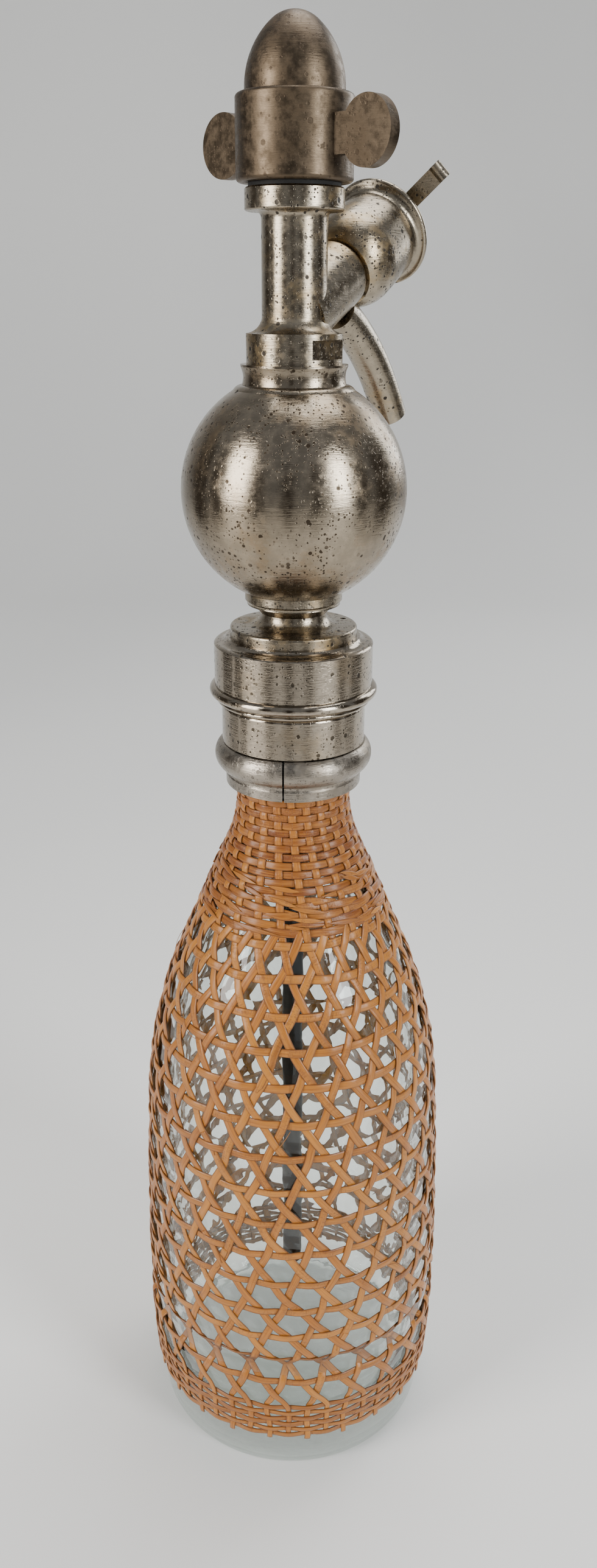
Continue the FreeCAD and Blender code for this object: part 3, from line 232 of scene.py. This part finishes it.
def split_cane():
    """Make glossy aged cane: streaks along it, fine cracks across it, painted shade along its edges and
    some stains.
    """
    material, tree, shader = new_material("cane")

    def strand_value(name):
        return new_node(tree, "ShaderNodeAttribute", attribute_name=name).outputs["Fac"]

    along, across = strand_value("along"), strand_value("across")
    luck, tone = strand_value("strand"), strand_value("tone")
    shift = maths(tree, "MULTIPLY", luck, 53.0)

    def strand_place(stretch, width):
        return new_node(tree, "ShaderNodeCombineXYZ", {
            0: maths(tree, "MULTIPLY", along, stretch), 1: maths(tree, "MULTIPLY", across, width),
            2: shift}).outputs[0]

    fibres = noise(tree, strand_place(110.0, 3.2), 1.0, 4.0, 0.6)
    stains = noise(tree, strand_place(38.0, 0.35), 1.0, 3.0)
    cracks = noise(tree, strand_place(2600.0, 0.9), 1.0, 3.0, 0.6)
    where = spread(tree, noise(tree, strand_place(60.0, 0.2), 1.0, 2.0), 0.42, 0.62)
    crack_mask = maths(tree, "MULTIPLY", spread(tree, cracks, 0.50, 0.62), where)
    light = blended(tree, luck, (0.46, 0.182, 0.028, 1.0), (0.33, 0.112, 0.016, 1.0))
    weft = blended(tree, luck, (0.205, 0.060, 0.009, 1.0), (0.140, 0.035, 0.006, 1.0))
    colour = blended(tree, tone, light, weft)
    colour = blended(tree, spread(tree, fibres, 0.35, 0.75, 0.0, 0.55), colour, (0.54, 0.22, 0.042, 1.0))
    colour = blended(tree, spread(tree, fibres, 0.28, 0.48, 0.45, 0.0), colour, (0.20, 0.055, 0.011, 1.0))
    colour = blended(tree, spread(tree, stains, 0.60, 0.76, 0.0, 0.55), colour, (0.13, 0.034, 0.008, 1.0))
    colour = blended(tree, maths(tree, "MULTIPLY", crack_mask, 0.42), colour, (0.15, 0.045, 0.010, 1.0))
    # Painted shade: each strand's colour darkens towards both edges to near black brown, standing in for
    # the shade where the domed strand turns away and meets its neighbours.
    painted_edge_shade = spread(tree, maths(tree, "ABSOLUTE", across), 0.66, 1.0, 0.0, 0.72)
    colour = blended(tree, painted_edge_shade, colour, (0.085, 0.022, 0.005, 1.0))
    tree.links.new(colour, shader.inputs["Base Color"])
    shader.inputs["Roughness"].default_value = 0.38
    shader.inputs["Specular IOR Level"].default_value = 0.30
    shader.inputs["Coat Weight"].default_value = 0.22
    shader.inputs["Coat Roughness"].default_value = 0.2
    face = bumped(tree, fibres, 0.0003, 0.35)
    face = bumped(tree, maths(tree, "SUBTRACT", 1.0, crack_mask), 0.00012, 0.6, face)
    tree.links.new(face, shader.inputs["Normal"])
    return material


def make_materials():
    """Make one material for each slot of the record."""
    black = (0.035, 0.030, 0.026, 1.0)
    return {
        "bottle_glass": clear_glass(),
        "cane": split_cane(),
        "ball_nickel": plated_metal("ball_nickel", (0.315, 0.262, 0.195, 1), (0.036, 0.025, 0.016, 1),
                                    (0.215, 0.152, 0.088, 1), 0.20, speck=0.92, patch=0.75, wave=0.4),
        "bright_nickel": plated_metal("bright_nickel", (0.365, 0.312, 0.245, 1), (0.03, 0.023, 0.015, 1),
                                      (0.29, 0.215, 0.13, 1), 0.085, speck=0.85, patch=0.5, wave=0.5),
        "worn_nickel": plated_metal("worn_nickel", (0.335, 0.285, 0.215, 1), black,
                                    (0.30, 0.21, 0.10, 1), 0.24, speck=0.95, patch=0.9, wave=0.5),
        "cap_nickel": plated_metal("cap_nickel", (0.120, 0.089, 0.060, 1), (0.045, 0.032, 0.022, 1),
                                   (0.092, 0.066, 0.042, 1), 0.42, speck=0.45, patch=0.6, wave=0.3),
        "tin_alloy": plated_metal("tin_alloy", (0.34, 0.30, 0.25, 1), (0.06, 0.05, 0.042, 1),
                                  (0.24, 0.20, 0.15, 1), 0.30, speck=0.5, patch=0.7, scratch=0.6, wave=1.0),
        "tube_metal": plain_metal("tube_metal", (0.040, 0.037, 0.034, 1), 0.40),
        "brass": plain_metal("brass", (0.62, 0.42, 0.16, 1), 0.3),
        "steel": plain_metal("steel", (0.42, 0.42, 0.43, 1), 0.3),
        "black_rubber": soft_matter("black_rubber", (0.022, 0.021, 0.020, 1), 0.7),
        "packing": soft_matter("packing", (0.26, 0.21, 0.15, 1), 0.8),
    }


MATERIALS = make_materials()
SLOT_OF = {entry["node"]: entry["material_slot"] for entry in frame["record"]["subparts"]}


def dress_nodes():
    """Give each node of the frame its own finish."""
    for name, node in frame["nodes"].items():
        node.data.materials.clear()
        node.data.materials.append(MATERIALS[SLOT_OF[name]])


def outside_of(node):
    """Read the outside of a turned node as radii at heights, in millimetres.

    A height whose largest radius is well inside its neighbours' belongs to the inner face alone.
    """
    points = np.array([vertex.co for vertex in frame["nodes"][node].data.vertices]) / MM
    radii = np.hypot(points[:, 0], points[:, 1])
    heights = np.round(points[:, 2], 2)
    levels = np.unique(heights)
    highest = np.array([radii[heights == level].max() for level in levels])
    keep = [radius > highest[np.abs(levels - level) < NEAR_HEIGHT].max() - INNER_FACE_DEPTH
            for level, radius in zip(levels, highest)]
    return levels[keep], highest[keep]


GLASS_LEVELS, GLASS_RADII = outside_of("glass_bottle")
COLLAR_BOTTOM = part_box("split_collar")[0].z / MM
CANE_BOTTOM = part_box("cane_foot_band")[0].z / MM
FOOT_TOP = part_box("cane_foot_band")[1].z / MM
HOOP_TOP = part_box("cane_hoops")[1].z / MM - HOOP_WIDTH / 2
HOOP_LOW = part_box("cane_hoops")[0].z / MM + HOOP_WIDTH / 2
HOOP_PITCH = (HOOP_TOP - HOOP_LOW) / (HOOPS - 1)


def glass_radius(height):
    return np.interp(height, GLASS_LEVELS, GLASS_RADII)


def row_height(row):
    """Give the height of a hoop row; rows stand a little wider apart half way up the bottle."""
    swing = HOOP_SWING * np.sin(TURN * np.clip(row, 0, HOOPS - 1) / (HOOPS - 1))
    return HOOP_TOP - HOOP_PITCH * row + swing


ROW_STEPS = np.linspace(-5, HOOPS + 1.5, 400)
ROW_HEIGHTS = row_height(ROW_STEPS)


def row_at(height):
    return np.interp(height, ROW_HEIGHTS[::-1], ROW_STEPS[::-1])


def stake_angle(height):
    """Give the place in degrees of the first stake, which leans in the neck and slants down the belly."""
    row = np.clip(row_at(height), 0, HOOPS)
    eased = STAKE_EASE * STAKE_EASE_ROWS * (1 - np.exp(-row / STAKE_EASE_ROWS))
    above = np.maximum(height - HOOP_TOP, 0)
    return STAKE_START + STAKE_ADVANCE * row - eased - NECK_LEAN * above


def counter_angle(height):
    """Give the place in degrees of the first counter strand, which crosses one stake between two hoops."""
    row = np.clip(row_at(height), -1, HOOPS)
    return stake_angle(height) - SPACING * row + SPACING / 2


def on_glass(angle, height, lift):
    """Give points and outward normals at angles in degrees from the front, lifted off the glass."""
    radius = glass_radius(height)
    slope = (glass_radius(height + 1.0) - glass_radius(height - 1.0)) / 2.0
    length = np.sqrt(1 + slope ** 2)
    turn = np.radians(angle)
    outward = np.stack([np.sin(turn) / length, -np.cos(turn) / length, -slope / length], axis=1)
    point = np.stack([radius * np.sin(turn), -radius * np.cos(turn), height], axis=1)
    return point + outward * np.asarray(lift)[:, None], outward


def ripple(seed, size, waves=(1, 2, 3, 5, 8)):
    """Give a smooth random wave round the bottle, a function of an angle in degrees."""
    luck = random.Random(seed)
    parts = [(wave, luck.uniform(0, TURN), luck.uniform(0.4, 1.0) / len(waves)) for wave in waves]
    return lambda angle: size * sum(part * np.sin(wave * np.radians(angle) + phase)
                                    for wave, phase, part in parts)


class Weave:
    """A mesh of many flat cane strands with rounded backs."""
    SECTION = ((-1.0, -0.15), (-0.93, 0.24), (-0.55, 0.44), (0.0, 0.5), (0.55, 0.44), (0.93, 0.24),
               (1.0, -0.15), (0.85, -0.5), (-0.85, -0.5))

    def __init__(self, name):
        self.name = name
        self.points = []
        self.faces = []
        self.values = {"strand": [], "along": [], "across": [], "tone": []}
        self.count = 0

    def strand(self, angle, height, lift, width, thickness=STRAND_THICKNESS, tone=0.0, closed=False):
        """Add a strand along angles and heights; width may change along it."""
        angle, height = np.asarray(angle, float), np.asarray(height, float)
        lift = np.broadcast_to(np.asarray(lift, float), angle.shape)
        width = np.broadcast_to(np.asarray(width, float), angle.shape)
        middle, outward = on_glass(angle, height, lift)
        if closed:
            ahead = np.roll(middle, -1, axis=0) - np.roll(middle, 1, axis=0)
        else:
            ahead = np.gradient(middle, axis=0)
        steps = np.linalg.norm(np.diff(middle, axis=0, prepend=middle[:1]), axis=1)
        along = np.cumsum(steps) * MM
        side = np.cross(outward, ahead)
        side /= np.linalg.norm(side, axis=1)[:, None]
        rings = []
        for across, rise in self.SECTION:
            rings.append(middle + side * (across * width / 2)[:, None] + outward * (rise * thickness))
        ring = len(self.SECTION)
        total = len(angle)
        self.points.append(np.stack(rings, axis=1).reshape(-1, 3) * MM)
        self.values["strand"].append(np.full(total * ring, random.random()))
        self.values["along"].append(np.repeat(along, ring))
        self.values["across"].append(np.tile([part[0] for part in self.SECTION], total))
        self.values["tone"].append(np.full(total * ring, tone))
        last = total if closed else total - 1
        for step in range(last):
            here = self.count + step * ring
            there = self.count + ((step + 1) % total) * ring
            for part in range(ring):
                follow = (part + 1) % ring
                self.faces.append((here + part, there + part, there + follow, here + follow))
        if not closed:
            self.faces.append(tuple(self.count + part for part in range(ring)))
            end = self.count + (total - 1) * ring
            self.faces.append(tuple(end + part for part in reversed(range(ring))))
        self.count += total * ring

    def finish(self, *nodes):
        """Make the object, let it ride on the bottle and stand for the given nodes."""
        mesh = bpy.data.meshes.new(self.name)
        mesh.from_pydata(np.concatenate(self.points).tolist(), [], self.faces)
        for name, parts in self.values.items():
            attribute = mesh.attributes.new(name, "FLOAT", "POINT")
            attribute.data.foreach_set("value", np.concatenate(parts).astype(np.float32))
        mesh.polygons.foreach_set("use_smooth", [True] * len(mesh.polygons))
        mesh.materials.append(MATERIALS["cane"])
        item = bpy.data.objects.new(self.name, mesh)
        bpy.context.scene.collection.objects.link(item)
        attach(item, "bottle")
        if nodes:
            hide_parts(*nodes)
        return item


NECK_PITCH = (COLLAR_BOTTOM - 0.8 - (HOOP_TOP + LOOSE_ROWS * LOOSE_ROW_PITCH + 2.1)) / NECK_ROWS
NECK_LEVELS = [COLLAR_BOTTOM - 0.8 - NECK_PITCH * (number + 0.5) for number in range(NECK_ROWS)]
LOOSE_LEVELS = [NECK_LEVELS[-1] - LOOSE_ROW_PITCH * (number + 1) for number in range(LOOSE_ROWS)]
WEFT_LEVELS = NECK_LEVELS + LOOSE_LEVELS
FOOT_PITCH = (FOOT_TOP - CANE_BOTTOM - 2.2) / FOOT_ROWS
FOOT_LEVELS = [FOOT_TOP - 1.4 - FOOT_PITCH * number for number in range(FOOT_ROWS)]


def weft_row_at(height):
    """Give the number of the woven neck row at a height, with parts of a row."""
    return np.interp(height, WEFT_LEVELS[::-1], np.arange(len(WEFT_LEVELS))[::-1].astype(float))


def foot_row_at(height):
    return np.interp(height, FOOT_LEVELS[::-1], np.arange(FOOT_ROWS)[::-1].astype(float))


def soft_step(given, low, high):
    part = np.clip((given - low) / (high - low), 0, 1)
    return part * part * (3 - 2 * part)


def row_lift(angle, level, waves, shift=0.0, share=1.0):
    """Give how far a horizontal strand stands off the glass, going over and under the stakes."""
    phase = waves * np.radians(angle - stake_angle(np.full(1, level))) + shift
    return LIFT_MIDDLE + LIFT_SWING * share * np.cos(phase)


def strand_lift(height, number, counter=False):
    """Give how far a stake or counter strand stands off the glass, going over and under what it crosses."""
    sign = 1 if counter else -1
    open_lift = sign * np.cos(TURN * row_at(height))
    order = 2 * number + (1 if counter else 0)
    foot_lift = np.cos(math.pi * (foot_row_at(height) + order))
    lift = open_lift + (foot_lift - open_lift) * soft_step(-height, -FOOT_TOP - 2, -FOOT_TOP + 1)
    if not counter:
        neck_lift = np.cos(math.pi * (weft_row_at(height) + number))
        in_neck = soft_step(height, HOOP_TOP + 1.0, WEFT_LEVELS[-1])
        lift = lift + (neck_lift - lift) * in_neck
    return LIFT_MIDDLE + LIFT_SWING * lift


def strand_width(height):
    """Strands are wide on the belly and narrow where they crowd together at the foot."""
    narrow = soft_step(-height, -FOOT_TOP - 6, -FOOT_TOP + 2)
    return STRAND_WIDTH * (1 - 0.28 * narrow)


def make_stakes():
    """Make the stakes, which run from the collar to the foot and slant across the belly."""
    weave = Weave("cane_stakes")
    heights = np.concatenate([np.arange(COLLAR_BOTTOM - 0.3, HOOP_TOP + 1, -0.36),
                              np.arange(HOOP_TOP + 1, CANE_BOTTOM + 1.2, -0.8)])
    for number in range(STAKES):
        wander = ripple(100 + number, 1.1, (3, 5, 8))
        bend = wander(heights * 3) * soft_step(-heights, -185, -165)
        angle = stake_angle(heights) + SPACING * number + bend
        width = strand_width(heights) * random.uniform(0.93, 1.08)
        weave.strand(angle, heights, strand_lift(heights, number), width)
    return weave.finish("cane_lattice")


def make_counter_strands():
    """Make the strands that start under the lowest woven row and cross the stakes."""
    weave = Weave("cane_counter_strands")
    for number in range(STAKES):
        top = LOOSE_LEVELS[-1] + random.uniform(0.4, 2.2)
        heights = np.arange(top, CANE_BOTTOM + 1.2, -0.8)
        wander = ripple(200 + number, 1.3, (3, 5, 8))
        angle = counter_angle(heights) + SPACING * number + wander(heights * 3)
        width = strand_width(heights) * random.uniform(0.93, 1.10)
        weave.strand(angle, heights, strand_lift(heights, number, counter=True), width)
    return weave.finish()


def make_hoops():
    """Make the hoops, each going over the stakes and under the counter strands."""
    weave = Weave("cane_hoop_strands")
    angle = np.arange(0, 360, 1.5)
    for number in range(HOOPS):
        level = row_height(number)
        wander = ripple(300 + number, 0.9)
        height = level + wander(angle)
        lift = row_lift(angle, level, STAKES)
        width = HOOP_WIDTH * (1.0 if number < 6 else 0.92) * random.uniform(0.94, 1.05)
        weave.strand(angle, height, lift, width, tone=random.uniform(0.0, 0.35), closed=True)
    return weave.finish("cane_hoops")


def make_neck_weave():
    """Make the close rows of the neck and the loose, pointed ends below them."""
    weave = Weave("cane_neck_rows")
    angle = np.arange(0, 360, 1.5)
    for number, level in enumerate(NECK_LEVELS):
        wander = ripple(400 + number, 0.22)
        lift = row_lift(angle, level, STAKES / 2, math.pi * (number + 1), 0.95)
        weave.strand(angle, level + wander(angle), lift, NECK_ROW_WIDTH * random.uniform(0.96, 1.05),
                     tone=random.uniform(0.65, 1.0), closed=True)
    for order, level in enumerate(LOOSE_LEVELS):
        number = NECK_ROWS + order
        start = random.uniform(0, 60)
        while start < 400:
            reach = random.uniform(55, 120)
            angle = np.arange(start, start + reach, 1.5)
            part = (angle - start) / reach
            ends = np.clip(np.minimum(part, 1 - part) * reach / 16, 0.06, 1)
            wander = ripple(500 + int(start * 7), 0.4)
            height = level + (0.5 - part) * random.uniform(0.4, 2.2) + wander(angle)
            lift = row_lift(angle, level, STAKES / 2, math.pi * (number + 1)) + 0.16 * (1 - ends)
            width = NECK_ROW_WIDTH * 1.08 * ends ** 0.7
            weave.strand(angle, height, lift, width, tone=random.uniform(0.4, 1.0))
            start += reach - random.uniform(4, 12)
    return weave.finish("cane_neck_weave")


def make_foot_weave():
    """Make the fine rows at the foot, which bind the ends of all the strands."""
    weave = Weave("cane_foot_rows")
    angle = np.arange(0, 360, 1.0)
    for number, level in enumerate(FOOT_LEVELS):
        wander = ripple(600 + number, 0.35)
        lift = row_lift(angle, level, STAKES, math.pi * (number + 1), 0.9)
        weave.strand(angle, level + wander(angle), lift, FOOT_ROW_WIDTH * random.uniform(0.85, 1.1),
                     tone=random.uniform(0.0, 0.6), closed=True)
    return weave.finish("cane_foot_band")


def make_loose_ends():
    """Add frayed ends that stick out of the neck rows, spliced tips on the belly and a few loose hairs."""
    weave = Weave("cane_loose_ends")
    for _ in range(FRAYED_ENDS):
        level = random.uniform(LOOSE_LEVELS[-1] - 0.5, NECK_LEVELS[-2])
        start = random.uniform(0, 360)
        reach = random.uniform(14, 34)
        angle = np.arange(start, start + reach, 1.0)
        part = (angle - start) / reach
        taper = np.clip(np.sin(math.pi * np.clip(part, 0.03, 0.97)), 0.05, 1)
        height = level + (part - 0.5) * random.uniform(-2.6, 0.8)
        lift = LIFT_MIDDLE + 0.52 + 0.12 * part
        weave.strand(angle, height, lift, 1.5 * taper, 0.34, tone=random.uniform(0, 0.9))
    for _ in range(SPLICED_TIPS):
        top = random.uniform(40, 165)
        heights = np.arange(top, top - random.uniform(5, 9), -0.6)
        counter = random.random() < 0.5
        path = counter_angle(heights) if counter else stake_angle(heights)
        stake = random.randrange(STAKES)
        lift = strand_lift(heights, stake, counter) + 0.28
        tip = np.clip(np.arange(len(heights))[::-1] / 3.0, 0.25, 1)
        weave.strand(path + SPACING * stake, heights, lift, STRAND_WIDTH * 0.86 * tip, 0.3, tone=0.1)
    for _ in range(LOOSE_HAIRS):
        top = random.uniform(60, 182)
        start = random.uniform(0, 360)
        part = np.linspace(0, 1, 14)
        angle = start + part * random.uniform(-14, 14)
        height = top - part * random.uniform(2, 9) + np.sin(part * 3) * random.uniform(-2, 2)
        weave.strand(angle, height, 1.0 + 0.45 * np.sin(part * math.pi), 0.16, 0.14, tone=0.0)
    return weave.finish()


def look_camera():
    """Set the camera where the photograph was taken, a little turned and rolled."""
    pitch, yaw, roll = (math.radians(angle) for angle in (CAMERA_PITCH, CAMERA_YAW, CAMERA_ROLL))
    ahead = Vector((math.sin(yaw) * math.cos(pitch), math.cos(yaw) * math.cos(pitch), -math.sin(pitch)))
    level_right = ahead.cross(Vector((0, 0, 1))).normalized()
    level_up = level_right.cross(ahead)
    right = level_right * math.cos(roll) + level_up * math.sin(roll)
    up = level_up * math.cos(roll) - level_right * math.sin(roll)
    data = bpy.data.cameras.new("camera")
    data.lens = CAMERA_LENS
    data.sensor_width = CAMERA_SENSOR
    data.clip_start = 0.01
    data.clip_end = 20
    camera = bpy.data.objects.new("camera", data)
    turned = Matrix((right, up, -ahead)).transposed().to_4x4()
    camera.matrix_world = Matrix.Translation(CAMERA_PLACE) @ turned
    bpy.context.scene.collection.objects.link(camera)
    bpy.context.scene.camera = camera


def stage_material(name, colour, roughness):
    material, _, shader = new_material(name)
    shader.inputs["Base Color"].default_value = colour
    shader.inputs["Roughness"].default_value = roughness
    return material


def stage_object(name, points, faces, material):
    mesh = bpy.data.meshes.new(name)
    mesh.from_pydata(points, [], faces)
    mesh.polygons.foreach_set("use_smooth", [True] * len(mesh.polygons))
    mesh.materials.append(material)
    item = bpy.data.objects.new(name, mesh)
    bpy.context.scene.collection.objects.link(item)
    return item


def make_backdrop():
    """Make a pale floor that curves up into a pale wall far behind."""
    half, front, back, radius, high = 8.0, -6.0, 1.6, 0.5, 4.0
    line = [(front, 0.0)] + [(back - radius + radius * math.sin(turn), radius - radius * math.cos(turn))
                            for turn in np.linspace(0, math.pi / 2, 13)] + [(back, high)]
    points = [(side, y, z) for y, z in line for side in (-half, half)]
    faces = [(2 * step, 2 * step + 1, 2 * step + 3, 2 * step + 2) for step in range(len(line) - 1)]
    stage_object("backdrop", points, faces, stage_material("pale_floor", (0.80, 0.79, 0.765, 1), 0.55))


def make_card(name, place, aim, width, height, material):
    """Stand a flat card that faces a point and shows only in reflections."""
    ahead = (Vector(aim) - Vector(place)).normalized()
    right = ahead.cross(Vector((0, 0, 1))).normalized()
    up = right.cross(ahead)
    centre = Vector(place)
    corners = [centre + right * (width / 2 * x) + up * (height / 2 * z)
               for x, z in ((-1, -1), (1, -1), (1, 1), (-1, 1))]
    card = stage_object(name, [tuple(corner) for corner in corners], [(0, 1, 2, 3)], material)
    card.visible_camera = False


def make_light(name, place, aim, width, height, power, colour=(1, 1, 1)):
    data = bpy.data.lights.new(name, "AREA")
    data.shape = "RECTANGLE"
    data.size, data.size_y = width, height
    data.energy = power
    data.color = colour
    light = bpy.data.objects.new(name, data)
    light.location = place
    light.rotation_euler = (Vector(aim) - Vector(place)).to_track_quat("-Z", "Y").to_euler()
    bpy.context.scene.collection.objects.link(light)


def make_lighting():
    """Light the part with tall windows, a soft top light and dark cards that stand round it."""
    world = bpy.data.worlds.new("world")
    world.use_nodes = True
    world.node_tree.nodes["Background"].inputs[0].default_value = (0.80, 0.84, 0.90, 1)
    world.node_tree.nodes["Background"].inputs[1].default_value = 0.40
    bpy.context.scene.world = world
    middle = (0, 0, 0.22)
    make_light("left_window", (-0.95, -0.55, 0.62), middle, 0.45, 0.9, 15, (1.0, 0.98, 0.95))
    make_light("right_window", (0.85, -0.75, 0.60), middle, 0.35, 0.8, 13, (0.95, 0.98, 1.0))
    make_light("top_light", (0.15, 0.25, 1.25), middle, 0.7, 0.7, 8, (1.0, 1.0, 1.0))
    make_light("back_window", (0.9, 0.9, 0.7), middle, 0.6, 0.8, 7, (0.95, 0.98, 1.0))
    dark = stage_material("dark_card", (0.045, 0.036, 0.028, 1), 0.8)
    for side, share in CARD_SIDES:
        turn = math.radians(side)
        place = (CARD_DISTANCE * math.sin(turn), -CARD_DISTANCE * math.cos(turn), CARD_HEIGHT / 2 + 0.02)
        width = 2 * CARD_DISTANCE * math.tan(math.radians(share))
        make_card("card_%d" % (side % 360), place, (0, 0, place[2]), width, CARD_HEIGHT, dark)


dress_nodes()
make_stakes()
make_counter_strands()
make_hoops()
make_neck_weave()
make_foot_weave()
make_loose_ends()
make_backdrop()
make_lighting()
look_camera()
